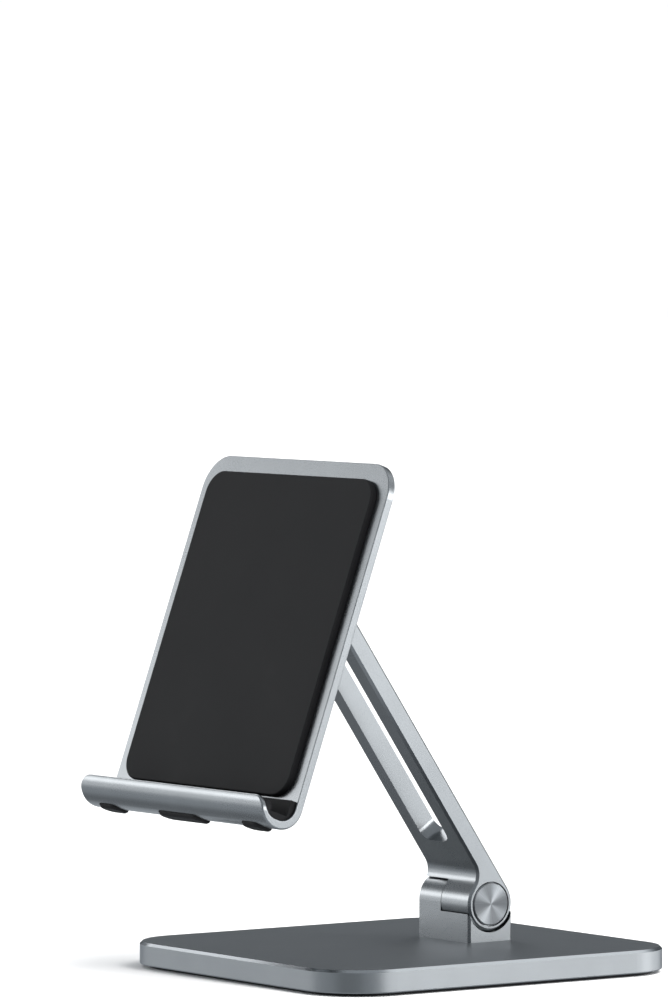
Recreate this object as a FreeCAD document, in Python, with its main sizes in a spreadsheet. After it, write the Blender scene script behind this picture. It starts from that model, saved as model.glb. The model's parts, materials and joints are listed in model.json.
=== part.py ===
import FreeCAD, Part
import math
import os
import Sketcher

# Folding tablet stand. Millimetres. X runs left to right, -Y is the side the user sits on, +Z is up.
# The origin is on the surface the stand rests on, under the middle of the base plate.
# Three bodies move: the base, the arm on the lower hinge, and the holder on the upper hinge. Each is
# drawn in its own frame (hinge axis or tablet edge at the origin) and then placed by its Placement.

DIMENSIONS = {
    # base plate and its rubber foot
    "base_width": 136.4, "base_depth": 145.6, "base_thick": 7.8, "base_corner": 22.4,
    "base_bevel": 0.9, "base_break": 0.4,
    "foot_inset": 3.0, "foot_thick": 2.0, "foot_proud": 1.2, "foot_gap": 0.1,
    # both hinges share these
    "hinge_width": 30.0, "knuckle_radius": 9.3, "ear_width": 13.5, "parting_gap": 0.25,
    "seat_radius": 9.8, "ear_clearance": 10.0, "block_bevel": 0.85, "arm_bevel": 0.85,
    "cap_radius": 7.4, "cap_seat_radius": 7.8, "cap_seat_depth": 2.0, "cap_proud": 0.25,
    "bolt_radius": 3.0, "bolt_slack": 0.05, "thread_radius": 2.5, "head_flats": 10.0,
    "head_height": 3.8, "head_seat_depth": 6.0, "head_slack": 0.1,
    "bush_radius": 4.5, "bush_slack": 0.03, "spring_room_radius": 6.0, "spring_room_start": 5.0,
    "washer_thick": 0.5, "washer_radius": 5.5, "parting_washer_radius": 7.0,
    "disc_radius": 5.0, "disc_bore": 2.6, "disc_thick": 0.45, "disc_rise": 0.25, "disc_pitch": 0.74,
    "disc_count": 4, "nut_flats": 8.0, "nut_height": 4.0, "thread_end": 12.7,
    # lower hinge and its block
    "lower_axis_back": 27.7, "lower_axis_height": 22.0,
    # arm
    "arm_lean": 34.3, "arm_reach": 137.45, "arm_face_offset": 2.3,
    "neck_angle": 24.5, "neck_radius": 6.5, "neck_let_in": 0.04,
    "window_width": 15.5, "window_start": 24.3, "window_end": 108.0, "window_corner": 4.0,
    # holder, measured from the lower edge of the tablet's glass
    "holder_tilt": 19.9, "holder_axis_up": 91.8, "holder_axis_gap": 0.4,
    "plate_width": 109.4, "plate_wall": 3.0, "plate_back": 11.0, "plate_top": 124.0,
    "plate_corner": 12.0, "sheet_outer_round": 0.6, "sheet_inner_round": 0.3,
    "curl_bottom": 5.25, "curl_front": 5.9, "curl_radius": 8.3,
    "lip_top": 4.0, "lip_corner": 4.8, "lip_edge": 1.2,
    "slot_front": 1.0, "slot_back": 7.0, "slot_corner": 3.95, "slot_reach": 7.0,
    "middle_slot_width": 26.0, "side_slot_width": 12.8, "side_slot_place": 42.8,
    "bumper_proud": 0.8, "bumper_slack": 0.3, "bumper_round": 1.3,
    # rubber that the tablet touches
    "tablet_back": 5.9, "liner_slack": 0.05, "liner_front": 1.05, "liner_top": 3.4,
    "liner_rear_top": 5.6, "liner_width": 107.4, "liner_corner": 3.0,
    "pad_bottom": 6.4, "pad_top": 118.0, "pad_width": 98.0, "pad_corner": 8.0, "pad_let_in": 0.5,
    "pad_slack": 0.1, "pad_round": 0.6,
    # upper bracket
    "flange_thick": 5.0, "flange_length": 25.0, "flange_start": 9.9, "flange_root": 2.2,
    # countersunk screws, shared by the block and the bracket
    "screw_radius": 1.5, "screw_slack": 0.06, "screw_head_radius": 2.9, "screw_socket_flats": 2.0,
    "screw_socket_depth": 1.1,
    "block_screw_length": 9.6, "block_screw_aside": 9.0, "block_screw_along": 5.2,
    "bracket_screw_length": 6.6, "bracket_screw_aside": 9.5, "bracket_screw_low": 13.4,
    "bracket_screw_high": 20.6, "screw_sink": 0.2, "tap_spare": 0.3,
}

document = FreeCAD.newDocument("tablet_stand")
sheet = document.addObject("Spreadsheet::Sheet", "dims")
for row, (alias, value) in enumerate(DIMENSIONS.items(), start=1):
    sheet.set(f"A{row}", alias)
    sheet.set(f"B{row}", str(value))
    sheet.setAlias(f"B{row}", alias)
document.recompute()

# Lengths that several pieces share, as formulas of the sheet's cells.
HALF_HINGE = "dims.hinge_width / 2"
EAR_FACE = "(-dims.hinge_width / 2 + dims.ear_width)"
KNUCKLE_FACE = "(-dims.hinge_width / 2 + dims.ear_width + dims.parting_gap)"
BASE_TOP = "(dims.foot_proud + dims.base_thick)"
UPPER_AXIS_IN = "(dims.arm_face_offset + dims.knuckle_radius)"
HOLDER_AXIS_BACK = "(dims.plate_back + dims.knuckle_radius + dims.holder_axis_gap)"
UPPER_AXIS_Y = (f"(dims.lower_axis_back - dims.arm_reach * sin(dims.arm_lean)"
                f" + {UPPER_AXIS_IN} * cos(dims.arm_lean))")
UPPER_AXIS_Z = (f"(dims.lower_axis_height + dims.arm_reach * cos(dims.arm_lean)"
                f" + {UPPER_AXIS_IN} * sin(dims.arm_lean))")
HEAD_SEAT = "(-dims.hinge_width / 2 + dims.head_seat_depth)"
CAP_SEAT = "(dims.hinge_width / 2 - dims.cap_seat_depth)"
PLATE_FRONT = "(dims.plate_back - dims.plate_wall)"
LIP_INSIDE = "(-dims.curl_front + dims.plate_wall)"
LIP_TIP_INSIDE = "(-dims.curl_front + dims.lip_edge)"
CURL_FLOOR = "(-dims.curl_bottom + dims.plate_wall)"


# ---------------------------------------------------------------- drawing helpers

def new_body(label):
    body = document.addObject("PartDesign::Body", label)
    body.Label = label
    return body


def new_sketch(body, name, role, offset="0"):
    """A sketch on one of the body's origin planes, moved along the plane's normal by a formula."""
    plane = [feature for feature in body.Origin.OriginFeatures if feature.Role == role][0]
    sketch = body.newObject("Sketcher::SketchObject", name)
    sketch.AttachmentSupport = [(plane, "")]
    sketch.MapMode = "FlatFace"
    sketch.setExpression("AttachmentOffset.Base.z", offset)
    return sketch


def value_of(formula):
    """What a formula of the sheet's cells comes to, as a plain number."""
    result = sheet.evalExpression(formula)
    return float(getattr(result, "Value", result))


def bind(sketch, constraint, formula):
    """Add a dimension to a sketch and tie it to a formula."""
    index = sketch.addConstraint(constraint)
    sketch.setExpression(f"Constraints[{index}]", formula)


def draw_polygon(sketch, points):
    """A closed outline of straight edges; every corner is given by two formulas."""
    places = [FreeCAD.Vector(value_of(across), value_of(up), 0) for across, up in points]
    count = len(places)
    for index in range(count):
        sketch.addGeometry(Part.LineSegment(places[index], places[(index + 1) % count]), False)
    for index in range(count):
        sketch.addConstraint(Sketcher.Constraint("Coincident", index, 2, (index + 1) % count, 1))
    for index, (across, up) in enumerate(points):
        place = places[index]
        bind(sketch, Sketcher.Constraint("DistanceX", -1, 1, index, 1, place.x), across)
        bind(sketch, Sketcher.Constraint("DistanceY", -1, 1, index, 1, place.y), up)


def draw_rectangle(sketch, low, high):
    draw_polygon(sketch, [low, (high[0], low[1]), high, (low[0], high[1])])


def draw_rounded(sketch, low, high, radius):
    """A rectangle with a quarter round at every corner: four arcs joined by four tangent lines."""
    size = value_of(radius)
    turn = math.pi / 2
    left, right = f"{low[0]} + {radius}", f"{high[0]} - {radius}"
    lower, upper = f"{low[1]} + {radius}", f"{high[1]} - {radius}"
    centres = [(right, upper), (left, upper), (left, lower), (right, lower)]
    arcs = []
    for step, (across, up) in enumerate(centres):
        middle = FreeCAD.Vector(value_of(across), value_of(up), 0)
        circle = Part.Circle(middle, FreeCAD.Vector(0, 0, 1), size)
        arcs.append(Part.ArcOfCircle(circle, step * turn, (step + 1) * turn))
    for arc in arcs:
        sketch.addGeometry(arc, False)
    for step in range(4):
        line = Part.LineSegment(arcs[step].EndPoint, arcs[(step + 1) % 4].StartPoint)
        sketch.addGeometry(line, False)
    for step, (across, up) in enumerate(centres):
        sketch.addConstraint(Sketcher.Constraint("Tangent", step, 2, step + 4, 1))
        sketch.addConstraint(Sketcher.Constraint("Tangent", step + 4, 2, (step + 1) % 4, 1))
        middle = arcs[step].Center
        bind(sketch, Sketcher.Constraint("DistanceX", -1, 1, step, 3, middle.x), across)
        bind(sketch, Sketcher.Constraint("DistanceY", -1, 1, step, 3, middle.y), up)
        bind(sketch, Sketcher.Constraint("Radius", step, size), radius)


def draw_circle(sketch, centre, radius):
    middle = FreeCAD.Vector(value_of(centre[0]), value_of(centre[1]), 0)
    size = value_of(radius)
    index = sketch.addGeometry(Part.Circle(middle, FreeCAD.Vector(0, 0, 1), size), False)
    bind(sketch, Sketcher.Constraint("DistanceX", -1, 1, index, 3, middle.x), centre[0])
    bind(sketch, Sketcher.Constraint("DistanceY", -1, 1, index, 3, middle.y), centre[1])
    bind(sketch, Sketcher.Constraint("Radius", index, size), radius)


def hexagon(flats):
    """Corner formulas of a hexagon about the origin, from its width across flats."""
    corner = f"({flats} / 2 / cos(30))"
    return [(f"{corner} * cos({60 * step})", f"{corner} * sin({60 * step})") for step in range(6)]


def add_feature(body, kind, name, sketch, length, backwards=False):
    """A Pad or Pocket that runs along the sketch's normal, or against it, for a length by formula."""
    feature = body.newObject(f"PartDesign::{kind}", name)
    feature.Profile = sketch
    feature.setExpression("Length", length)
    feature.Reversed = (kind == "Pocket") != backwards
    sketch.Visibility = False
    document.recompute()
    return feature


def add_edges(body, kind, name, base, chosen, size):
    """A Fillet or Chamfer on the edges of the base feature that a test picks."""
    names = [f"Edge{index}" for index, edge in enumerate(base.Shape.Edges, start=1) if chosen(edge)]
    if not names:
        raise RuntimeError(f"{name}: no edge fits")
    feature = body.newObject(f"PartDesign::{kind}", name)
    feature.Base = (base, names)
    feature.setExpression("Radius" if kind == "Fillet" else "Size", size)
    document.recompute()
    return feature


def near(first, second):
    return abs(first - second) < 1e-4


def edge_lies_at(edge, **where):
    """True if every point of the edge has the given coordinates, such as x=15 or z=(0, 2)."""
    for point in (edge.Vertexes[0].Point, edge.Vertexes[-1].Point, edge.CenterOfMass):
        for letter, wanted in where.items():
            got = getattr(point, letter)
            choices = wanted if isinstance(wanted, tuple) else (wanted,)
            if not any(near(got, choice) for choice in choices):
                return False
    return True


def runs_along(edge, letter):
    """True for a straight edge parallel to one axis."""
    if not isinstance(edge.Curve, Part.Line):
        return False
    return near(abs(getattr(edge.Curve.Direction, letter)), 1.0)


def bore(body, name, centre, radius, start, stop):
    """A round pocket along X between two formulas."""
    sketch = new_sketch(body, name + "_circle", "YZ_Plane", start)
    draw_circle(sketch, centre, radius)
    return add_feature(body, "Pocket", name, sketch, f"{stop} - {start}")


def place(piece, tilt=None, back="0", height="0"):
    """Move a piece in the YZ plane and lean it; a positive tilt leans its top towards the user."""
    if tilt is not None:
        piece.Placement = FreeCAD.Placement(FreeCAD.Vector(), FreeCAD.Rotation(FreeCAD.Vector(1, 0, 0), 1))
        piece.setExpression("Placement.Rotation.Angle", tilt)
    piece.setExpression("Placement.Base.y", back)
    piece.setExpression("Placement.Base.z", height)


def turned(label, outline):
    """A piece turned about the X axis; the outline's points are (along the axis, radius)."""
    body = new_body(label)
    sketch = new_sketch(body, label + "_section", "XY_Plane")
    draw_polygon(sketch, outline)
    feature = body.newObject("PartDesign::Revolution", label + "_turned")
    feature.Profile = sketch
    feature.ReferenceAxis = (sketch, ["H_Axis"])
    feature.Angle = 360
    document.recompute()
    return body


def ring(label, start, stop, inner, outer):
    return turned(label, [(start, inner), (stop, inner), (stop, outer), (start, outer)])


def group(label, pieces):
    """Several separate solids of the same kind, kept as one node."""
    compound = document.addObject("Part::Compound", label)
    compound.Label = label
    compound.Links = pieces
    return compound


# ---------------------------------------------------------------- the base

def make_plate(label, half_width, half_depth, bottom, thickness, corner):
    """A flat plate with rounded corners, centred on the Z axis."""
    body = new_body(label)
    outline = new_sketch(body, label + "_outline", "XY_Plane", bottom)
    draw_rounded(outline, (f"-{half_width}", f"-{half_depth}"), (half_width, half_depth), corner)
    add_feature(body, "Pad", label + "_slab", outline, thickness)
    return body


def make_base_plate():
    body = make_plate("base_plate", "dims.base_width / 2", "dims.base_depth / 2", "dims.foot_proud",
                      "dims.base_thick", "dims.base_corner")
    top = value_of(BASE_TOP)
    bottom = value_of("dims.foot_proud")
    bevel = add_edges(body, "Chamfer", "base_bevel", body.Tip,
                      lambda edge: edge_lies_at(edge, z=top), "dims.base_bevel")
    base = add_edges(body, "Fillet", "base_break", bevel,
                     lambda edge: edge_lies_at(edge, z=bottom), "dims.base_break")
    recess = new_sketch(body, "foot_recess_outline", "XY_Plane", "dims.foot_proud")
    draw_rounded(recess, ("-dims.base_width / 2 + dims.foot_inset", "-dims.base_depth / 2 + dims.foot_inset"),
                 ("dims.base_width / 2 - dims.foot_inset", "dims.base_depth / 2 - dims.foot_inset"),
                 "(dims.base_corner - dims.foot_inset)")
    base = add_feature(body, "Pocket", "foot_recess", recess, "dims.foot_thick - dims.foot_proud")
    drill_screws(body, base, "XY_Plane", "block", block_screw_places(), "dims.foot_thick", "dims.base_thick")
    return body


def drill_screws(body, base, role, prefix, places, mouth, depth):
    """Clearance holes with countersinks at their mouths, on a plane whose normal points inwards."""
    sketch = new_sketch(body, prefix + "_screw_circles", role, mouth)
    for centre in places:
        draw_circle(sketch, centre, "dims.screw_radius + dims.screw_slack")
    holes = add_feature(body, "Pocket", prefix + "_screw_holes", sketch, depth, role == "XZ_Plane")
    hole = value_of("dims.screw_radius + dims.screw_slack")
    letter = "z" if role == "XY_Plane" else "y"
    level = value_of(mouth) * (1 if role == "XY_Plane" else -1)

    def is_mouth(edge):
        return (isinstance(edge.Curve, Part.Circle) and near(edge.Curve.Radius, hole)
                and near(getattr(edge.CenterOfMass, letter), level))

    return add_edges(body, "Chamfer", prefix + "_countersinks", holes, is_mouth,
                     "dims.screw_head_radius + dims.screw_sink - dims.screw_radius")


def block_screw_places():
    return [(f"{side} * dims.block_screw_aside", f"dims.lower_axis_back + {end} * dims.block_screw_along")
            for side in (-1, 1) for end in (-1, 1)]


def make_foot_pad():
    body = make_plate("foot_pad", "(dims.base_width / 2 - dims.foot_inset - dims.foot_gap)",
                      "(dims.base_depth / 2 - dims.foot_inset - dims.foot_gap)", "0", "dims.foot_thick",
                      "(dims.base_corner - dims.foot_inset - dims.foot_gap)")
    add_edges(body, "Fillet", "foot_edge", body.Tip,
              lambda edge: edge_lies_at(edge, z=0.0), "dims.base_break")
    return body


def make_hinge_block():
    """The block in the lower hinge's frame: left ear, and a hollow seat under the arm's knuckle."""
    body = new_body("hinge_block")
    foot = f"({BASE_TOP} - dims.lower_axis_height)"
    sides = new_sketch(body, "block_foot", "YZ_Plane", f"-{HALF_HINGE}")
    draw_rectangle(sides, ("-dims.knuckle_radius", foot), ("dims.knuckle_radius", "0"))
    add_feature(body, "Pad", "block_body", sides, "dims.hinge_width")
    top = new_sketch(body, "block_top", "YZ_Plane", f"-{HALF_HINGE}")
    draw_circle(top, ("0", "0"), "dims.knuckle_radius")
    rounded = add_feature(body, "Pad", "block_round", top, "dims.hinge_width")
    face = value_of(HALF_HINGE)
    level = value_of(foot)
    bevelled = add_edges(body, "Chamfer", "block_bevel", rounded,
                         lambda edge: edge_lies_at(edge, x=(face, -face)) and not edge_lies_at(edge, z=level),
                         "dims.block_bevel")
    bevelled.Refine = True
    bore(body, "knuckle_seat", ("0", "0"), "dims.seat_radius", EAR_FACE, f"({HALF_HINGE} + 1)")
    drill_ear(body, ("0", "0"), "lower")
    taps = new_sketch(body, "block_taps", "XY_Plane", foot)
    for across, along in block_screw_places():
        draw_circle(taps, (across, f"{along} - dims.lower_axis_back"), "dims.screw_radius + dims.screw_slack")
    screw_tip = "(dims.foot_thick + dims.screw_sink + dims.block_screw_length)"
    add_feature(body, "Pocket", "block_tapped_holes", taps, f"{screw_tip} + dims.tap_spare - {BASE_TOP}")
    place(body, back="dims.lower_axis_back", height="dims.lower_axis_height")
    return body


def drill_ear(body, centre, prefix):
    """The bolt hole of a left ear, its six-sided head pocket and the round seat of its cap."""
    bore(body, prefix + "_ear_hole", centre, "dims.bolt_radius + dims.bolt_slack",
         f"(-{HALF_HINGE})", EAR_FACE)
    pocket = new_sketch(body, prefix + "_head_hexagon", "YZ_Plane", f"-{HALF_HINGE}")
    corners = hexagon("(dims.head_flats + dims.head_slack * 2)")
    draw_polygon(pocket, [(f"{centre[0]} + {across}", f"{centre[1]} + {up}") for across, up in corners])
    add_feature(body, "Pocket", prefix + "_head_pocket", pocket, "dims.head_seat_depth")
    bore(body, prefix + "_ear_cap_seat", centre, "dims.cap_seat_radius", f"(-{HALF_HINGE})",
         f"(-{HALF_HINGE} + dims.cap_seat_depth)")


# ---------------------------------------------------------------- the arm

def add_neck(body, name, centre, side):
    """The corner between the strip and a knuckle, filled up to a flat that meets the knuckle at the neck
    angle. side is 1 at the lower end of the arm and -1 at the upper."""
    across, up = centre
    reach = "(dims.knuckle_radius - dims.neck_let_in)"
    rise = f"(dims.arm_face_offset * tan(dims.neck_angle) + {reach} / cos(dims.neck_angle))"
    strip_face = f"{across} + ({side}) * dims.arm_face_offset"
    corner = new_sketch(body, name, "YZ_Plane", f"-{HALF_HINGE}")
    draw_polygon(corner, [(across, up),
                          (f"{across} - ({side}) * {reach} * sin(dims.neck_angle)",
                           f"{up} + ({side}) * {reach} * cos(dims.neck_angle)"),
                          (strip_face, f"{up} + ({side}) * {rise}"),
                          (strip_face, up)])
    return add_feature(body, "Pad", name + "_pad", corner, "dims.hinge_width")


def make_support_arm():
    """The arm in its own frame: lower axis at the origin, Z along the arm, +Y to its back."""
    body = new_body("support_arm")
    sides = new_sketch(body, "arm_strip", "YZ_Plane", f"-{HALF_HINGE}")
    draw_rectangle(sides, ("dims.arm_face_offset", "0"), ("dims.knuckle_radius", "dims.arm_reach"))
    add_feature(body, "Pad", "arm_strip_pad", sides, "dims.hinge_width")
    for name, centre in (("lower", ("0", "0")), ("upper", (UPPER_AXIS_IN, "dims.arm_reach"))):
        knuckle = new_sketch(body, name + "_knuckle", "YZ_Plane", f"-{HALF_HINGE}")
        draw_circle(knuckle, centre, "dims.knuckle_radius")
        add_feature(body, "Pad", name + "_knuckle_pad", knuckle, "dims.hinge_width")
    add_neck(body, "lower_neck", ("0", "0"), 1)
    shape = add_neck(body, "upper_neck", (UPPER_AXIS_IN, "dims.arm_reach"), -1)
    face = value_of(HALF_HINGE)
    front = value_of("dims.arm_face_offset")
    back = value_of("dims.knuckle_radius")
    middle = value_of("dims.arm_reach / 2")

    def is_neck(edge):
        """Where the strip's front leaves the lower knuckle, and its back leaves the upper one."""
        if not runs_along(edge, "x"):
            return False
        spot = edge.CenterOfMass
        return (near(spot.y, front) and 0 < spot.z < middle) or (near(spot.y, back) and spot.z > middle)

    necks = add_edges(body, "Fillet", "arm_necks", shape, is_neck, "dims.neck_radius")
    necks.Refine = True
    window = new_sketch(body, "window_outline", "XZ_Plane", "dims.knuckle_radius")
    draw_rounded(window, ("-dims.window_width / 2", "dims.window_start"),
                 ("dims.window_width / 2", "dims.window_end"), "dims.window_corner")
    opened = body.newObject("PartDesign::Pocket", "window")
    opened.Profile = window
    opened.Type = "ThroughAll"
    opened.Midplane = True
    document.recompute()
    outline = add_edges(body, "Chamfer", "arm_bevel", opened,
                        lambda edge: edge_lies_at(edge, x=(face, -face)), "dims.arm_bevel")
    outline.Refine = True
    for name, centre in (("lower", ("0", "0")), ("upper", (UPPER_AXIS_IN, "dims.arm_reach"))):
        bore(body, name + "_ear_room", centre, "dims.ear_clearance", f"(-{HALF_HINGE} - 1)", KNUCKLE_FACE)
        bore(body, name + "_bush_hole", centre, "dims.bush_radius", KNUCKLE_FACE, "dims.spring_room_start")
        bore(body, name + "_spring_room", centre, "dims.spring_room_radius",
             "dims.spring_room_start", CAP_SEAT)
        bore(body, name + "_cap_seat", centre, "dims.cap_seat_radius", CAP_SEAT, f"({HALF_HINGE} + 1)")
    place(body, "dims.arm_lean", "dims.lower_axis_back", "dims.lower_axis_height")
    return body


# ---------------------------------------------------------------- what is inside each hinge

def make_hinge_parts(prefix, tilt, back, height):
    """The bolt, bush, washers, springs, nut and caps of one hinge, in the hinge axis's frame."""
    parts = [make_bolt(prefix), make_bush(prefix), make_washers(prefix), make_springs(prefix),
             make_nut(prefix), make_cap(prefix, "left", -1), make_cap(prefix, "right", 1)]
    for part in parts:
        place(part, tilt, back, height)
    return parts


def make_bolt(prefix):
    label = prefix + "_hinge_bolt"
    shoulder = "(dims.spring_room_start + dims.washer_thick)"
    body = turned(label, [(HEAD_SEAT, "0"), ("dims.thread_end", "0"),
                          ("dims.thread_end", "dims.thread_radius"), (shoulder, "dims.thread_radius"),
                          (shoulder, "dims.bolt_radius"), (HEAD_SEAT, "dims.bolt_radius")])
    head = new_sketch(body, label + "_hexagon", "YZ_Plane", f"{HEAD_SEAT} - dims.head_height")
    draw_polygon(head, hexagon("dims.head_flats"))
    add_feature(body, "Pad", label + "_head", head, "dims.head_height")
    return body


def make_bush(prefix):
    return ring(prefix + "_bush", KNUCKLE_FACE, "dims.spring_room_start",
                "(dims.bolt_radius + dims.bush_slack)", "dims.bush_radius")


def make_washers(prefix):
    """One washer fills the parting gap, the other lies under the springs."""
    hole = "(dims.bolt_radius + dims.bolt_slack)"
    parting = ring(prefix + "_parting_washer", EAR_FACE, KNUCKLE_FACE, hole, "dims.parting_washer_radius")
    under = ring(prefix + "_spring_washer", "dims.spring_room_start",
                 "(dims.spring_room_start + dims.washer_thick)", hole, "dims.washer_radius")
    return group(prefix + "_friction_washers", [parting, under])


def make_springs(prefix):
    """Coned discs, every second one turned round, each in its own pitch of the stack."""
    discs = []
    for index in range(int(value_of("dims.disc_count"))):
        start = (f"(dims.spring_room_start + dims.washer_thick + 0.01"
                 f" + {index} * dims.disc_pitch)")
        rim, eye = (("0", "dims.disc_rise"), ("dims.disc_rise", "0"))[index % 2]
        outline = [(f"{start} + {eye}", "dims.disc_bore"), (f"{start} + {rim}", "dims.disc_radius"),
                   (f"{start} + {rim} + dims.disc_thick", "dims.disc_radius"),
                   (f"{start} + {eye} + dims.disc_thick", "dims.disc_bore")]
        discs.append(turned(f"{prefix}_disc_{index + 1}", outline))
    return group(prefix + "_disc_springs", discs)


def make_nut(prefix):
    label = prefix + "_lock_nut"
    body = new_body(label)
    start = "(dims.spring_room_start + dims.washer_thick + 0.02 + dims.disc_count * dims.disc_pitch)"
    outline = new_sketch(body, label + "_hexagon", "YZ_Plane", start)
    draw_polygon(outline, hexagon("dims.nut_flats"))
    add_feature(body, "Pad", label + "_prism", outline, "dims.nut_height")
    bore(body, label + "_hole", ("0", "0"), "dims.thread_radius", start, f"({start} + dims.nut_height)")
    return body


def make_cap(prefix, side_name, side):
    """A disc that closes one end of the hinge, with a fine bevel round its outer face."""
    inner = f"{side} * ({HALF_HINGE} - dims.cap_seat_depth)"
    outer = f"{side} * ({HALF_HINGE} + dims.cap_proud)"
    bevel = f"{side} * ({HALF_HINGE} + dims.cap_proud - dims.base_break)"
    return turned(f"{prefix}_{side_name}_cap",
                  [(inner, "0"), (outer, "0"), (outer, "dims.cap_radius - dims.base_break"),
                   (bevel, "dims.cap_radius"), (inner, "dims.cap_radius")])


# ---------------------------------------------------------------- the holder

def place_holder(piece):
    """Pieces of the holder are drawn from the lower edge of the tablet's glass, +Y to the back."""
    place(piece, "-dims.holder_tilt",
          f"{UPPER_AXIS_Y} - {HOLDER_AXIS_BACK} * cos(dims.holder_tilt)"
          f" - dims.holder_axis_up * sin(dims.holder_tilt)",
          f"{UPPER_AXIS_Z} + {HOLDER_AXIS_BACK} * sin(dims.holder_tilt)"
          f" - dims.holder_axis_up * cos(dims.holder_tilt)")


def slots():
    """Centre and width of the three slots under the curl."""
    return [("0", "dims.middle_slot_width"), ("-dims.side_slot_place", "dims.side_slot_width"),
            ("dims.side_slot_place", "dims.side_slot_width")]


def make_holder_plate():
    body = new_body("holder_plate")
    profile = new_sketch(body, "curl_profile", "YZ_Plane", "-dims.plate_width / 2")
    draw_polygon(profile, [("dims.plate_back", "dims.plate_top"), (PLATE_FRONT, "dims.plate_top"),
                           (PLATE_FRONT, CURL_FLOOR), (LIP_INSIDE, CURL_FLOOR),
                           (LIP_TIP_INSIDE, "dims.lip_top"), ("-dims.curl_front", "dims.lip_top"),
                           ("-dims.curl_front", "-dims.curl_bottom"),
                           ("dims.plate_back", "-dims.curl_bottom")])
    shape = add_feature(body, "Pad", "curl_sheet", profile, "dims.plate_width")
    floor = value_of(CURL_FLOOR)
    bottom = value_of("-dims.curl_bottom")
    shape = add_edges(body, "Fillet", "curl_inside", shape,
                      lambda edge: runs_along(edge, "x") and edge_lies_at(edge, z=floor),
                      "dims.curl_radius - dims.plate_wall")
    shape = add_edges(body, "Fillet", "curl_outside", shape,
                      lambda edge: runs_along(edge, "x") and edge_lies_at(edge, z=bottom), "dims.curl_radius")
    side = value_of("dims.plate_width / 2")
    top = value_of("dims.plate_top")
    shape = add_edges(body, "Fillet", "plate_corners", shape,
                      lambda edge: runs_along(edge, "y") and edge_lies_at(edge, x=(side, -side), z=top),
                      "dims.plate_corner")
    for direction in (-1, 1):
        shape = round_lip_corner(body, direction, "dims.plate_width / 2", "dims.lip_top",
                                 "dims.lip_corner")
    shape = round_sheet_edges(body, shape)
    for index, (centre, width) in enumerate(slots(), start=1):
        shape = cut_slot(body, index, centre, width)
    shape = let_in_pad(body)
    places = bracket_screw_places()
    drill_screws(body, shape, "XZ_Plane", "bracket", places, f"-({PLATE_FRONT} + dims.pad_let_in)",
                 "dims.plate_wall")
    place_holder(body)
    return body


def round_lip_corner(body, direction, half_width, top, radius):
    """Take one top corner off an upright leg of the curl with a quarter round."""
    name = body.Label + ("_left_corner" if direction < 0 else "_right_corner")
    sketch = new_sketch(body, name + "_outline", "XZ_Plane")
    size = value_of(radius)
    side = direction * value_of(half_width)
    level = value_of(top)
    centre = FreeCAD.Vector(side - direction * size, level - size, 0)
    angles = (0, math.pi / 2) if direction > 0 else (math.pi / 2, math.pi)
    circle = Part.Circle(centre, FreeCAD.Vector(0, 0, 1), size)
    arc = sketch.addGeometry(Part.ArcOfCircle(circle, *angles), False)
    beyond = FreeCAD.Vector(side + direction, level + 1, 0)
    stops = [FreeCAD.Vector(side, centre.y, 0), FreeCAD.Vector(beyond.x, centre.y, 0), beyond,
             FreeCAD.Vector(centre.x, beyond.y, 0), FreeCAD.Vector(centre.x, level, 0)]
    for start, end in zip(stops, stops[1:]):
        sketch.addGeometry(Part.LineSegment(start, end), False)
    low_end, high_end = (1, 2) if direction > 0 else (2, 1)
    joins = [(arc, low_end, 1, 1), (1, 2, 2, 1), (2, 2, 3, 1), (3, 2, 4, 1), (4, 2, arc, high_end)]
    for first, first_end, second, second_end in joins:
        sketch.addConstraint(Sketcher.Constraint("Coincident", first, first_end, second, second_end))
    for line, kind in ((1, "Horizontal"), (2, "Vertical"), (3, "Horizontal"), (4, "Vertical")):
        sketch.addConstraint(Sketcher.Constraint(kind, line))
    bind(sketch, Sketcher.Constraint("DistanceX", -1, 1, arc, 3, centre.x),
         f"{direction} * ({half_width} - {radius})")
    bind(sketch, Sketcher.Constraint("DistanceY", -1, 1, arc, 3, centre.y), f"{top} - {radius}")
    bind(sketch, Sketcher.Constraint("Radius", arc, size), radius)
    bind(sketch, Sketcher.Constraint("DistanceX", -1, 1, 2, 1, beyond.x), f"{direction} * ({half_width} + 1)")
    bind(sketch, Sketcher.Constraint("DistanceY", -1, 1, 3, 1, beyond.y), f"{top} + 1")
    return add_feature(body, "Pocket", name, sketch, "dims.curl_front + 1")


def round_sheet_edges(body, shape):
    """Break both edges of the sheet; each round runs on from the lip's top to the sides and the top."""
    top = value_of("dims.lip_top")
    outer = value_of("-dims.curl_front")
    inner = value_of(LIP_TIP_INSIDE)
    shape = add_edges(body, "Fillet", "sheet_outer_round", shape,
                      lambda edge: runs_along(edge, "x") and edge_lies_at(edge, y=outer, z=top),
                      "dims.sheet_outer_round")
    return add_edges(body, "Fillet", "sheet_inner_round", shape,
                     lambda edge: runs_along(edge, "x") and edge_lies_at(edge, y=inner, z=top),
                     "dims.sheet_inner_round")


def cut_slot(body, index, centre, width):
    """A slot with round ends through the floor of the curl."""
    sketch = new_sketch(body, f"slot_{index}_outline", "XY_Plane", "-dims.curl_bottom - 1")
    draw_rounded(sketch, (f"{centre} - {width} / 2", "-dims.slot_front"),
                 (f"{centre} + {width} / 2", "dims.slot_back"), "dims.slot_corner")
    return add_feature(body, "Pocket", f"slot_{index}", sketch, "dims.slot_reach")


def let_in_pad(body):
    """A shallow recess for the back pad."""
    sketch = new_sketch(body, "pad_recess_outline", "XZ_Plane", f"-{PLATE_FRONT}")
    draw_rounded(sketch, ("-dims.pad_width / 2", "dims.pad_bottom"), ("dims.pad_width / 2", "dims.pad_top"),
                 "dims.pad_corner")
    return add_feature(body, "Pocket", "pad_recess", sketch, "dims.pad_let_in", backwards=True)


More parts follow.
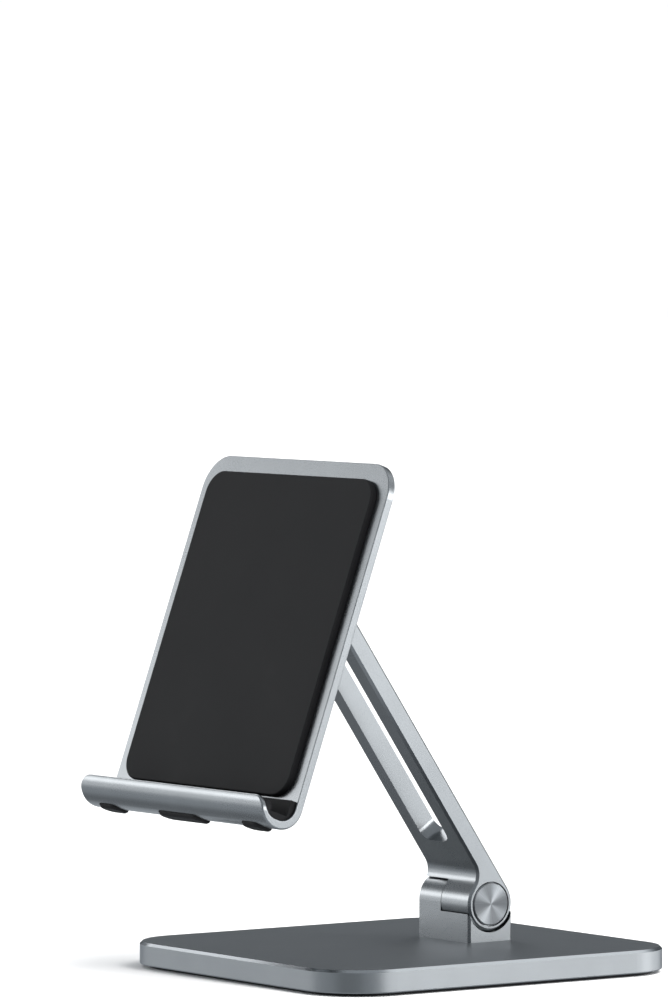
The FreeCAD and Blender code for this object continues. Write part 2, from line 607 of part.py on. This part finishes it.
def make_back_pad():
    body = new_body("back_pad")
    half = "(dims.pad_width / 2 - dims.pad_slack)"
    sketch = new_sketch(body, "pad_outline", "XZ_Plane", f"-({PLATE_FRONT} + dims.pad_let_in)")
    draw_rounded(sketch, (f"-{half}", "dims.pad_bottom + dims.pad_slack"),
                 (half, "dims.pad_top - dims.pad_slack"), "(dims.pad_corner - dims.pad_slack)")
    slab = add_feature(body, "Pad", "pad_slab", sketch, f"{PLATE_FRONT} + dims.pad_let_in - dims.tablet_back")
    front = value_of("dims.tablet_back")
    add_edges(body, "Fillet", "pad_edge", slab, lambda edge: edge_lies_at(edge, y=front), "dims.pad_round")
    place_holder(body)
    return body


def make_lip_liner():
    """A U of rubber in the curl, with a bumper through each slot."""
    body = new_body("lip_liner")
    profile = new_sketch(body, "liner_profile", "YZ_Plane", "-dims.liner_width / 2")
    rear = f"({PLATE_FRONT} - dims.liner_slack)"
    front = f"({LIP_INSIDE} + dims.liner_slack)"
    floor = f"({CURL_FLOOR} + dims.liner_slack)"
    slope = f"({LIP_INSIDE} - {LIP_TIP_INSIDE}) / (dims.lip_top - {CURL_FLOOR})"
    taper = f"{slope} * (dims.liner_top - {CURL_FLOOR})"
    front_top = f"({front} - {taper})"
    draw_polygon(profile, [(rear, "dims.liner_rear_top"), ("dims.tablet_back", "dims.liner_rear_top"),
                           ("dims.tablet_back", "0"), ("-dims.liner_front", "0"),
                           ("-dims.liner_front", "dims.liner_top"), (front_top, "dims.liner_top"),
                           (front, floor), (rear, floor)])
    shape = add_feature(body, "Pad", "liner_sheet", profile, "dims.liner_width")
    level = value_of(floor)
    shape = add_edges(body, "Fillet", "liner_bends", shape,
                      lambda edge: runs_along(edge, "x") and edge_lies_at(edge, z=level),
                      "dims.curl_radius - dims.plate_wall - dims.liner_slack")
    for direction in (-1, 1):
        shape = round_lip_corner(body, direction, "dims.liner_width / 2", "dims.liner_top",
                                 "dims.liner_corner")
    for index, (centre, width) in enumerate(slots(), start=1):
        sketch = new_sketch(body, f"bumper_{index}_outline", "XY_Plane",
                            "-dims.curl_bottom - dims.bumper_proud")
        half = f"({width} / 2 - dims.bumper_slack)"
        draw_rounded(sketch, (f"{centre} - {half}", "-dims.slot_front + dims.bumper_slack"),
                     (f"{centre} + {half}", "dims.slot_back - dims.bumper_slack"),
                     "(dims.slot_corner - dims.bumper_slack)")
        shape = add_feature(body, "Pad", f"bumper_{index}", sketch,
                            "dims.curl_bottom + dims.bumper_proud - 0.2")
    tip = value_of("-dims.curl_bottom - dims.bumper_proud")
    add_edges(body, "Fillet", "bumper_edges", shape, lambda edge: edge_lies_at(edge, z=tip),
              "dims.bumper_round")
    place_holder(body)
    return body


def bracket_screw_places():
    return [(f"{side} * dims.bracket_screw_aside", f"dims.holder_axis_up + dims.{height}")
            for side in (-1, 1) for height in ("bracket_screw_low", "bracket_screw_high")]


def make_hinge_bracket():
    """The upper ear and the flange that the plate is screwed to."""
    body = new_body("hinge_bracket")
    axis = (HOLDER_AXIS_BACK, "dims.holder_axis_up")
    flange_back = "(dims.plate_back + dims.flange_thick)"
    flange_end = "(dims.holder_axis_up + dims.flange_length)"
    sides = new_sketch(body, "bracket_profile", "YZ_Plane", f"-{HALF_HINGE}")
    draw_polygon(sides, [("dims.plate_back", "dims.holder_axis_up"), ("dims.plate_back", flange_end),
                         (flange_back, flange_end),
                         (flange_back, "dims.holder_axis_up + dims.knuckle_radius"),
                         (HOLDER_AXIS_BACK, "dims.holder_axis_up + dims.knuckle_radius"),
                         (HOLDER_AXIS_BACK, "dims.holder_axis_up")])
    slab = add_feature(body, "Pad", "bracket_slab", sides, "dims.hinge_width")
    root_level = value_of("dims.holder_axis_up + dims.knuckle_radius")
    root_depth = value_of(flange_back)
    add_edges(body, "Fillet", "bracket_root", slab,
              lambda edge: runs_along(edge, "x") and edge_lies_at(edge, y=root_depth, z=root_level),
              "dims.flange_root")
    ear = new_sketch(body, "bracket_ear", "YZ_Plane", f"-{HALF_HINGE}")
    draw_circle(ear, axis, "dims.knuckle_radius")
    shape = add_feature(body, "Pad", "bracket_ear_pad", ear, "dims.hinge_width")
    face = value_of(HALF_HINGE)
    inner = value_of("dims.plate_back")
    bevelled = add_edges(body, "Chamfer", "bracket_bevel", shape,
                         lambda edge: edge_lies_at(edge, x=(face, -face)) and not edge_lies_at(edge, y=inner),
                         "dims.arm_bevel")
    bevelled.Refine = True
    room = new_sketch(body, "bracket_knuckle_room", "YZ_Plane", EAR_FACE)
    draw_rectangle(room, ("dims.plate_back - 1", "dims.holder_axis_up - dims.seat_radius"),
                   (f"{HOLDER_AXIS_BACK} + dims.seat_radius", "dims.holder_axis_up + dims.flange_start"))
    add_feature(body, "Pocket", "bracket_knuckle_gap", room, f"{HALF_HINGE} + 1 - {EAR_FACE}")
    drill_ear(body, axis, "upper")
    taps = new_sketch(body, "bracket_taps", "XZ_Plane", "-dims.plate_back")
    for centre in bracket_screw_places():
        draw_circle(taps, centre, "dims.screw_radius + dims.screw_slack")
    add_feature(body, "Pocket", "bracket_tapped_holes", taps, "dims.flange_thick", backwards=True)
    place_holder(body)
    return body


# ---------------------------------------------------------------- screws

def make_screw(name, length, across, along):
    """A countersunk screw that points up: cone head, shank and a hexagonal socket in the head."""
    body = new_body(name)
    section = new_sketch(body, name + "_section", "XZ_Plane")
    slope = "(dims.screw_head_radius - dims.screw_radius)"
    draw_polygon(section, [("0", "0"), ("dims.screw_head_radius", "0"), ("dims.screw_radius", slope),
                           ("dims.screw_radius", length), ("0", length)])
    solid = body.newObject("PartDesign::Revolution", name + "_turned")
    solid.Profile = section
    solid.ReferenceAxis = (section, ["V_Axis"])
    solid.Angle = 360
    document.recompute()
    socket = new_sketch(body, name + "_socket_outline", "XY_Plane")
    draw_polygon(socket, hexagon("dims.screw_socket_flats"))
    add_feature(body, "Pocket", name + "_socket", socket, "dims.screw_socket_depth")
    body.setExpression("Placement.Base.x", across)
    body.setExpression("Placement.Base.y", along)
    return body


def make_block_screws():
    screws = []
    for index, (across, along) in enumerate(block_screw_places(), start=1):
        screws.append(make_screw(f"block_screw_{index}", "dims.block_screw_length", across, along))
    compound = group("block_screws", screws)
    place(compound, height="dims.foot_thick + dims.screw_sink")
    return compound


def make_bracket_screws():
    """Each screw is turned so that it points from the pad side to the flange."""
    screws = []
    for index, (across, up) in enumerate(bracket_screw_places(), start=1):
        screw = make_screw(f"bracket_screw_{index}", "dims.bracket_screw_length", across,
                           f"{PLATE_FRONT} + dims.pad_let_in + dims.screw_sink")
        screw.Placement.Rotation = FreeCAD.Rotation(FreeCAD.Vector(1, 0, 0), -90)
        screw.setExpression("Placement.Base.z", up)
        screws.append(screw)
    compound = group("bracket_screws", screws)
    place_holder(compound)
    return compound


# ---------------------------------------------------------------- build, check and write

pieces = [make_base_plate(), make_foot_pad(), make_hinge_block(), make_block_screws(), make_support_arm(),
          make_holder_plate(), make_hinge_bracket(), make_bracket_screws(), make_back_pad(), make_lip_liner()]
pieces += make_hinge_parts("lower", None, "dims.lower_axis_back", "dims.lower_axis_height")
pieces += make_hinge_parts("upper", "-dims.holder_tilt", UPPER_AXIS_Y, UPPER_AXIS_Z)
document.recompute()

for item in document.Objects:
    if "Invalid" in item.State or "Error" in item.State:
        raise RuntimeError(f"{item.Label} failed: {item.State}")
for piece in pieces:
    if piece.Shape.isNull() or not piece.Shape.isValid():
        raise RuntimeError(f"{piece.Label} has no valid shape")

os.makedirs("parts", exist_ok=True)
for piece in pieces:
    piece.Shape.exportStep(os.path.join("parts", piece.Label + ".step"))
    box = piece.Shape.BoundBox
    print(f"{piece.Label:24s} solids {len(piece.Shape.Solids)} volume {piece.Shape.Volume:10.2f}"
          f" y {box.YMin:8.2f} {box.YMax:8.2f} z {box.ZMin:8.2f} {box.ZMax:8.2f}")
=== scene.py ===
import json

import bpy
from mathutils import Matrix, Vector


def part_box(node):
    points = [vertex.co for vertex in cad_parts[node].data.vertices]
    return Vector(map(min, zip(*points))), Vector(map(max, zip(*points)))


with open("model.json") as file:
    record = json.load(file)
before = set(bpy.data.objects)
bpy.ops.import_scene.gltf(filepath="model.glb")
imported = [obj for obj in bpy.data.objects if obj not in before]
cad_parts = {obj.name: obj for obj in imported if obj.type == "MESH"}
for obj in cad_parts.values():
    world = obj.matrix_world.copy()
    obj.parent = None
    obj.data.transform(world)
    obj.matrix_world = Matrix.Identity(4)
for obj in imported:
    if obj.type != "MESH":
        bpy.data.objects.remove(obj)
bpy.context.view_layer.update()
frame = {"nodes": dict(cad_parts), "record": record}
nodes = frame["nodes"]

MM = 0.001

# The camera stands low and far to the user's front right, and is aimed at the top of the stand. Its lens
# and sensor are in millimetres, as Blender has them, and all other lengths in this script are in metres.
CAMERA_PLACE = (2.0450, -1.4795, 0.2730)
CAMERA_AIM = (-0.0132, -0.0186, 0.1618)
CAMERA_LENS = 264.5
SENSOR_WIDTH = 36.0
CAMERA_REACH = 50.0

FLOOR_REACH = 9.0
FLOOR_COLOUR = (0.915, 0.90, 0.885)

# The room's own glow below and above the horizon, its tint, and the plain white that the camera sees.
ROOM_LOW = 0.64
ROOM_HIGH = 0.50
ROOM_TINT = (0.93, 1.0, 1.07)
BACKDROP = 1.02

# The overhead lamp, a broad sun: its strength, the angle that it covers, and where it shines from.
OVERHEAD_STRENGTH = 4.1
OVERHEAD_ANGLE = 0.8
OVERHEAD_FROM = (0.75, 0.05, 1.0)

# Each card: where it is seen from the stand, how its long side runs, half its width and length, how soft
# its edge is, and its brightness.
SOFTBOXES = [
    ((-0.81, -0.51, 0.205), (0.53, -0.81, 0.0), 0.095, 0.75, 0.045, 3.3),
    ((-0.81, 0.09, 0.585), (0.1, 1.0, 0.0), 0.12, 0.20, 0.05, 3.0),
    ((-0.81, -0.58, -0.03), (0.58, -0.81, 0.0), 0.07, 0.45, 0.05, 0.9),
    ((0.74, 0.66, 0.02), (0.66, -0.74, 0.0), 0.30, 0.70, 0.14, 0.45),
    ((0.77, 0.62, 0.12), (0.62, -0.77, 0.0), 0.12, 0.60, 0.07, 4.6),
    ((0.20, 0.97, 0.05), (0.97, -0.20, 0.0), 0.25, 0.55, 0.20, 1.5),
    ((0.05, 0.62, 0.78), (1.0, 0.0, 0.0), 0.25, 0.50, 0.12, 1.0),
]
# The same for black cards, which take away a share of the room's glow behind them.
FLAGS = [
    ((-0.72, 0.66, 0.26), (0.66, 0.72, 0.0), 0.34, 0.60, 0.15, 0.75),
    ((0.62, -0.78, -0.05), (0.78, 0.62, 0.0), 0.35, 0.42, 0.15, 0.4),
    ((-0.80, -0.17, -0.57), (0.2, -0.8, 0.0), 0.20, 0.26, 0.12, 0.55),
    ((-0.81, -0.30, 0.46), (0.3, -0.8, 0.0), 0.10, 0.50, 0.06, 0.6),
]

# Colours are linear red, green and blue.
GREY = (0.291, 0.304, 0.313)
SPUN_GREY = (0.292, 0.307, 0.320)
RUBBER_BLACK = (0.006, 0.006, 0.0065)
POLYMER_BLACK = (0.05, 0.05, 0.05)
SCREW_BLACK = (0.09, 0.09, 0.095)
BOLT_STEEL = (0.52, 0.52, 0.53)
SPRING_BLUE = (0.18, 0.2, 0.24)
BRONZE = (0.55, 0.36, 0.18)

# Blasted aluminium: how wide its grain, the clouds in its dye and its smudges are, the clouds' shade, and
# how deep the grain is.
GRAIN_WIDTH = 0.22 * MM
CLOUD_WIDTH = 14 * MM
SMUDGE_WIDTH = 45 * MM
CLOUD_SHADE = 0.94
GRAIN_DEPTH = 0.005 * MM

# The base plate: its roughness, the tint of its reflections at a glancing angle, what its top and its bevel
# change (the top's darker colour is painted shade), and how high the bevel is. A face whose upward part lies
# between STEEP and LEVEL is slanted.
BASE_ROUGHNESS = 0.33
BASE_EDGE_TINT = (0.80, 0.81, 0.83)
TOP_PAINTED_SHADE = 0.89
TOP_EXTRA_ROUGHNESS = 0.12
BEVEL_SHADE = 1.35
BEVEL_LESS_ROUGHNESS = 0.10
BEVEL_HEIGHT = 1.0 * MM
STEEP = 0.3
LEVEL = 0.95

# The spun discs: the painted reflection on their colour, as fans of painted highlight: the shade between
# fans, each pair's direction in radians, narrowness and gain, how many fine painted rays there are to a
# radian; and their own rings: how many across the disc, and how deep they are.
PAINTED_FAN_GAP_SHADE = 0.66
PAINTED_FANS = [(1.05, 14.0, 0.70), (2.42, 20.0, 0.30)]
PAINTED_RAYS = 14.0
SPUN_RINGS = 90.0
RING_DEPTH = 0.006 * MM

# Rubber: how wide its grain and its dust clouds are, how much paler the dust is, and the grain's depth.
RUBBER_GRAIN_WIDTH = 0.35 * MM
DUST_WIDTH = 30 * MM
DUST_PALENESS = 0.004
RUBBER_GRAIN_DEPTH = 0.02 * MM

# Machined steel and bronze: how wide the tool marks and the oil stains are, the stains' shade, and the marks'
# depth.
TOOL_MARK_WIDTH = 0.4 * MM
OIL_WIDTH = 3 * MM
OIL_SHADE = 0.8
TOOL_MARK_DEPTH = 0.01 * MM


# ---------------------------------------------------------------- shader helpers

def new_material(name):
    """A node material with its Principled shader, ready to be wired."""
    material = bpy.data.materials.new(name)
    material.use_nodes = True
    tree = material.node_tree
    tree.nodes.clear()
    shader = add(tree, "BsdfPrincipled")
    plug(tree, shader.outputs["BSDF"], add(tree, "OutputMaterial").inputs["Surface"])
    return material, tree, shader


def add(tree, kind, **settings):
    """A new node of the kind, with its settings."""
    node = tree.nodes.new("ShaderNode" + kind)
    for key, value in settings.items():
        setattr(node, key, value)
    return node


def plug(tree, source, target):
    """Links an output socket to an input socket."""
    tree.links.new(source, target)


def coordinates(tree, kind):
    """Object: a point's place in metres. Generated: its place in the piece's own box, from 0 to 1, or in the
    world the direction looked in. Normal: the way its face points."""
    return add(tree, "TexCoord").outputs[kind]


def axis_part(tree, vector, axis):
    """One of a vector's three numbers: its X, Y or Z."""
    split = add(tree, "SeparateXYZ")
    plug(tree, vector, split.inputs[0])
    return split.outputs[axis]


def noise(tree, where, width, detail=2.0, roughness=0.5):
    """Noise whose blotches are about width metres across."""
    node = add(tree, "TexNoise")
    node.inputs["Scale"].default_value = 1.0 / width
    node.inputs["Detail"].default_value = detail
    node.inputs["Roughness"].default_value = roughness
    plug(tree, where, node.inputs["Vector"])
    return node.outputs["Fac"]


def stripes(tree, value, count, detail):
    """Noise along one number, with about count stripes for each 1 of it."""
    node = add(tree, "TexNoise", noise_dimensions="1D")
    node.inputs["Scale"].default_value = count
    node.inputs["Detail"].default_value = detail
    plug(tree, value, node.inputs["W"])
    return node.outputs["Fac"]


def spread(tree, value, low, high, start=0.3, end=0.7):
    """Maps the value from the range start to end, where most noise lies, to the range low to high."""
    node = add(tree, "MapRange")
    node.inputs["From Min"].default_value = start
    node.inputs["From Max"].default_value = end
    node.inputs["To Min"].default_value = low
    node.inputs["To Max"].default_value = high
    plug(tree, value, node.inputs["Value"])
    return node.outputs["Result"]


def maths(tree, operation, first, second=None):
    """One step of arithmetic on one or two numbers or sockets."""
    node = add(tree, "Math", operation=operation)
    for socket, value in zip(node.inputs, (first, second)):
        if value is None:
            continue
        if isinstance(value, (int, float)):
            socket.default_value = value
        else:
            plug(tree, value, socket)
    return node.outputs[0]


def scaled(tree, vector, scale):
    """A fixed vector or colour times a socket."""
    node = add(tree, "VectorMath", operation="SCALE")
    node.inputs[0].default_value = vector
    plug(tree, scale, node.inputs["Scale"])
    return node.outputs["Vector"]


def shaded(colour, share):
    """The colour with each channel times share."""
    return tuple(channel * share for channel in colour)


def blend_colours(tree, factor, first, second):
    """Mixes two colours, each a tuple or a socket."""
    node = add(tree, "Mix", data_type="RGBA")
    plug(tree, factor, node.inputs["Factor"])
    for socket, colour in ((node.inputs["A"], first), (node.inputs["B"], second)):
        if isinstance(colour, tuple):
            socket.default_value = (*colour, 1.0)
        else:
            plug(tree, colour, socket)
    return node.outputs["Result"]


def bump(tree, shader, height, depth, strength):
    """Raises the surface by height times depth."""
    node = add(tree, "Bump")
    node.inputs["Strength"].default_value = strength
    node.inputs["Distance"].default_value = depth
    plug(tree, height, node.inputs["Height"])
    plug(tree, node.outputs["Normal"], shader.inputs["Normal"])


# ---------------------------------------------------------------- materials

def blasted_aluminium(name, colour, roughness):
    """Bead-blasted, anodised aluminium: a fine even grain, faint clouds in the dye and faint smudges.
    Hands back what a variant needs to build on."""
    material, tree, shader = new_material(name)
    where = coordinates(tree, "Object")
    grain = noise(tree, where, GRAIN_WIDTH, detail=3.0)
    cloud = noise(tree, where, CLOUD_WIDTH, detail=3.0)
    smudge = noise(tree, where, SMUDGE_WIDTH, detail=4.0, roughness=0.6)
    base = blend_colours(tree, spread(tree, cloud, 0.0, 1.0), shaded(colour, CLOUD_SHADE), colour)
    dull = maths(tree, "ADD", spread(tree, grain, -0.02, 0.02),
                 spread(tree, smudge, roughness - 0.015, roughness + 0.02))
    shader.inputs["Metallic"].default_value = 1.0
    plug(tree, base, shader.inputs["Base Color"])
    plug(tree, dull, shader.inputs["Roughness"])
    bump(tree, shader, grain, GRAIN_DEPTH, 0.4)
    return material, tree, shader, base, dull


def base_aluminium(name, colour, bevel_bottom):
    """The base plate: its top is painted darker than its sides, as painted shade, and is blasted duller, and
    the bevel above bevel_bottom was cut after anodising, so it is brighter and smoother."""
    material, tree, shader, base, dull = blasted_aluminium(name, colour, BASE_ROUGHNESS)
    up = axis_part(tree, coordinates(tree, "Normal"), "Z")
    height = axis_part(tree, coordinates(tree, "Object"), "Z")
    is_top = maths(tree, "GREATER_THAN", up, LEVEL)
    slanted = maths(tree, "MULTIPLY", maths(tree, "GREATER_THAN", up, STEEP),
                    maths(tree, "LESS_THAN", up, LEVEL))
    is_bevel = maths(tree, "MULTIPLY", slanted, maths(tree, "GREATER_THAN", height, bevel_bottom))
    # Painted shade: the top takes a darker copy of the plate's colour.
    base = blend_colours(tree, is_top, base, shaded(colour, TOP_PAINTED_SHADE))
    base = blend_colours(tree, is_bevel, base, shaded(colour, BEVEL_SHADE))
    dull = maths(tree, "ADD", dull, maths(tree, "MULTIPLY", is_top, TOP_EXTRA_ROUGHNESS))
    dull = maths(tree, "SUBTRACT", dull, maths(tree, "MULTIPLY", is_bevel, BEVEL_LESS_ROUGHNESS))
    plug(tree, base, shader.inputs["Base Color"])
    plug(tree, dull, shader.inputs["Roughness"])
    shader.inputs["Specular Tint"].default_value = (*BASE_EDGE_TINT, 1.0)
    return material


def painted_fans(tree, across, up):
    """Painted reflection on a disc's colour: fans of painted highlight and shade, fixed to the disc, two
    pairs of bright ones, a strong and a faint, and many fine painted rays."""
    angle = maths(tree, "ARCTAN2", up, across)
    # Painted shade between the fans, then painted highlight added for each fan.
    painted_shade = PAINTED_FAN_GAP_SHADE
    for direction, narrowness, gain in PAINTED_FANS:
        turn = maths(tree, "SUBTRACT", angle, direction)
        painted_fan = maths(tree, "POWER", maths(tree, "ABSOLUTE", maths(tree, "COSINE", turn)), narrowness)
        painted_shade = maths(tree, "ADD", maths(tree, "MULTIPLY", painted_fan, gain), painted_shade)
    painted_rays = stripes(tree, angle, PAINTED_RAYS, detail=4.0)
    return maths(tree, "MULTIPLY", painted_shade, spread(tree, painted_rays, 0.93, 1.07))


def spun_aluminium(name, colour):
    """Aluminium turned on a lathe: fine rings round the middle of the disc, which draw light out into
    narrow fans, and fans of painted highlight and shade on its colour as well. The disc's axis is X."""
    material, tree, shader = new_material(name)
    inside = coordinates(tree, "Generated")
    across = maths(tree, "SUBTRACT", axis_part(tree, inside, "Y"), 0.5)
    up = maths(tree, "SUBTRACT", axis_part(tree, inside, "Z"), 0.5)
    radius = maths(tree, "SQRT", maths(tree, "ADD", maths(tree, "MULTIPLY", across, across),
                                       maths(tree, "MULTIPLY", up, up)))
    ring = stripes(tree, radius, SPUN_RINGS, detail=3.0)
    # Painted reflection: the painted fans' highlight and shade, times the rings' own faint tone.
    painted_shade = maths(tree, "MULTIPLY", painted_fans(tree, across, up), spread(tree, ring, 0.92, 1.04))
    plug(tree, scaled(tree, colour, painted_shade), shader.inputs["Base Color"])
    plug(tree, spread(tree, ring, 0.32, 0.38), shader.inputs["Roughness"])
    shader.inputs["Metallic"].default_value = 1.0
    shader.inputs["Anisotropic"].default_value = 1.0
    shader.inputs["Anisotropic Rotation"].default_value = 0.25
    tangent = add(tree, "Tangent", direction_type="RADIAL", axis="X")
    plug(tree, tangent.outputs[0], shader.inputs["Tangent"])
    bump(tree, shader, ring, RING_DEPTH, 0.4)
    return material


def silicone(name, colour, gloss):
    """Matt black silicone rubber with a fine moulded grain and a trace of dust."""
    material, tree, shader = new_material(name)
    where = coordinates(tree, "Object")
    grain = noise(tree, where, RUBBER_GRAIN_WIDTH)
    dust = noise(tree, where, DUST_WIDTH, detail=6.0, roughness=0.6)
    dusty = tuple(channel + DUST_PALENESS for channel in colour)
    plug(tree, blend_colours(tree, spread(tree, dust, 0.0, 1.0, 0.4, 0.8), colour, dusty),
         shader.inputs["Base Color"])
    plug(tree, spread(tree, dust, 0.60, 0.68), shader.inputs["Roughness"])
    shader.inputs["Specular IOR Level"].default_value = gloss
    bump(tree, shader, grain, RUBBER_GRAIN_DEPTH, 0.7)
    return material


def turned_metal(name, colour, roughness):
    """Plain machined steel or bronze with faint tool marks and oil."""
    material, tree, shader = new_material(name)
    where = coordinates(tree, "Object")
    marks = noise(tree, where, TOOL_MARK_WIDTH, detail=4.0)
    oil = noise(tree, where, OIL_WIDTH)
    plug(tree, blend_colours(tree, spread(tree, oil, 0.0, 1.0), shaded(colour, OIL_SHADE), colour),
         shader.inputs["Base Color"])
    plug(tree, spread(tree, marks, roughness - 0.06, roughness + 0.08), shader.inputs["Roughness"])
    shader.inputs["Metallic"].default_value = 1.0
    bump(tree, shader, marks, TOOL_MARK_DEPTH, 0.5)
    return material


def slot_materials():
    """One material for each material slot in the record."""
    return {
        "grey_aluminium": blasted_aluminium("grey_aluminium", GREY, 0.28)[0],
        "spun_aluminium": spun_aluminium("spun_aluminium", SPUN_GREY),
        "black_rubber": silicone("black_rubber", RUBBER_BLACK, 0.15),
        "screw_steel": turned_metal("screw_steel", SCREW_BLACK, 0.4),
        "bolt_steel": turned_metal("bolt_steel", BOLT_STEEL, 0.28),
        "spring_steel": turned_metal("spring_steel", SPRING_BLUE, 0.3),
        "bronze": turned_metal("bronze", BRONZE, 0.4),
        "friction_polymer": silicone("friction_polymer", POLYMER_BLACK, 0.5),
    }


def paint_cad_nodes():
    """Every CAD node takes the material of its slot in the record, the base plate one of its own."""
    slots = slot_materials()
    bevel_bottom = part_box("base_plate")[1][2] - BEVEL_HEIGHT
    own = {"base_plate": base_aluminium("base_aluminium", GREY, bevel_bottom)}
    for part in frame["record"]["subparts"]:
        piece = nodes[part["node"]]
        piece.data.materials.clear()
        piece.data.materials.append(own.get(part["node"], slots[part["material_slot"]]))


# ---------------------------------------------------------------- floor, light and camera

def make_floor():
    """A flat pale floor that runs far past the stand on every side and shows in no reflection."""
    mesh = bpy.data.meshes.new("floor")
    corners = [(x * FLOOR_REACH, y * FLOOR_REACH, 0) for x, y in ((-1, -1), (1, -1), (1, 1), (-1, 1))]
    mesh.from_pydata(corners, [], [(0, 1, 2, 3)])
    floor = bpy.data.objects.new("floor", mesh)
    bpy.context.scene.collection.objects.link(floor)
    material, _, shader = new_material("pale_floor")
    shader.inputs["Base Color"].default_value = (*FLOOR_COLOUR, 1.0)
    shader.inputs["Roughness"].default_value = 0.9
    shader.inputs["Specular IOR Level"].default_value = 0.1
    mesh.materials.append(material)
    floor.visible_glossy = False


def dot(tree, direction, axis):
    """How far a direction lies along a fixed axis."""
    node = add(tree, "VectorMath", operation="DOT_PRODUCT")
    plug(tree, direction, node.inputs[0])
    node.inputs[1].default_value = axis
    return node.outputs["Value"]


def soft_window(tree, value, half, softness):
    """1 while the value is within half of zero, and smoothly 0 past it."""
    node = add(tree, "MapRange", interpolation_type="SMOOTHSTEP")
    node.inputs["From Min"].default_value = half + softness
    node.inputs["From Max"].default_value = max(half - softness, 0.0)
    plug(tree, maths(tree, "ABSOLUTE", value), node.inputs["Value"])
    return node.outputs["Result"]


def studio_card(tree, direction, aim, along, half_width, half_length, softness):
    """How much of a soft-edged rectangle lies in a direction. aim points at its middle from the stand,
    along is the way its long side runs, and the halves are tangents of the angles it covers."""
    aim = Vector(aim).normalized()
    across = aim.cross(Vector(along)).normalized()
    along = across.cross(aim)
    depth = dot(tree, direction, aim)
    side = maths(tree, "DIVIDE", dot(tree, direction, across), depth)
    rise = maths(tree, "DIVIDE", dot(tree, direction, along), depth)
    shape = maths(tree, "MULTIPLY", soft_window(tree, side, half_width, softness),
                  soft_window(tree, rise, half_length, softness))
    return maths(tree, "MULTIPLY", shape, maths(tree, "GREATER_THAN", depth, 0.0))


def room_glow(tree, direction):
    """The room's tinted glow, which changes from below to above and is dimmer behind each flag."""
    light = spread(tree, dot(tree, direction, (0.0, 0.0, 1.0)), ROOM_LOW, ROOM_HIGH, -0.5, 0.5)
    for *card_shape, share in FLAGS:
        hidden = maths(tree, "MULTIPLY", studio_card(tree, direction, *card_shape), share)
        light = maths(tree, "MULTIPLY", light, maths(tree, "SUBTRACT", 1.0, hidden))
    return scaled(tree, ROOM_TINT, light)


def softbox_glow(tree, direction):
    """What all the softboxes shine in a direction."""
    light = 0.0
    for *card_shape, strength in SOFTBOXES:
        shine = maths(tree, "MULTIPLY", studio_card(tree, direction, *card_shape), strength)
        light = maths(tree, "ADD", shine, light)
    return light


def make_studio():
    """A white studio: the camera sees plain white, while the metal reflects cards of light and dark."""
    world = bpy.data.worlds.new("studio")
    world.use_nodes = True
    tree = world.node_tree
    tree.nodes.clear()
    direction = coordinates(tree, "Generated")
    studio = add(tree, "VectorMath", operation="ADD")
    plug(tree, room_glow(tree, direction), studio.inputs[0])
    plug(tree, softbox_glow(tree, direction), studio.inputs[1])
    seen = add(tree, "LightPath").outputs["Is Camera Ray"]
    white = (BACKDROP, BACKDROP, BACKDROP)
    background = add(tree, "Background")
    plug(tree, blend_colours(tree, seen, studio.outputs["Vector"], white), background.inputs["Color"])
    plug(tree, background.outputs[0], add(tree, "OutputWorld").inputs["Surface"])
    bpy.context.scene.world = world


def make_overhead_lamp():
    """A broad soft lamp high on the stand's right, which lays the shadow on the floor and shows in no
    reflection."""
    sun = bpy.data.lights.new("overhead", "SUN")
    sun.energy = OVERHEAD_STRENGTH
    sun.angle = OVERHEAD_ANGLE
    lamp = bpy.data.objects.new("overhead", sun)
    lamp.rotation_euler = Vector(OVERHEAD_FROM).to_track_quat("Z", "Y").to_euler()
    lamp.visible_glossy = False
    bpy.context.scene.collection.objects.link(lamp)


def make_camera():
    """A long lens, so the stand is drawn with almost no perspective."""
    data = bpy.data.cameras.new("camera")
    data.lens = CAMERA_LENS
    data.sensor_width = SENSOR_WIDTH
    data.clip_end = CAMERA_REACH
    camera = bpy.data.objects.new("camera", data)
    camera.location = CAMERA_PLACE
    camera.rotation_euler = (Vector(CAMERA_AIM) - Vector(CAMERA_PLACE)).to_track_quat("-Z", "Y").to_euler()
    bpy.context.scene.collection.objects.link(camera)
    bpy.context.scene.camera = camera


bpy.context.scene.view_settings.view_transform = "Standard"
make_camera()
paint_cad_nodes()
make_floor()
make_studio()
make_overhead_lamp()
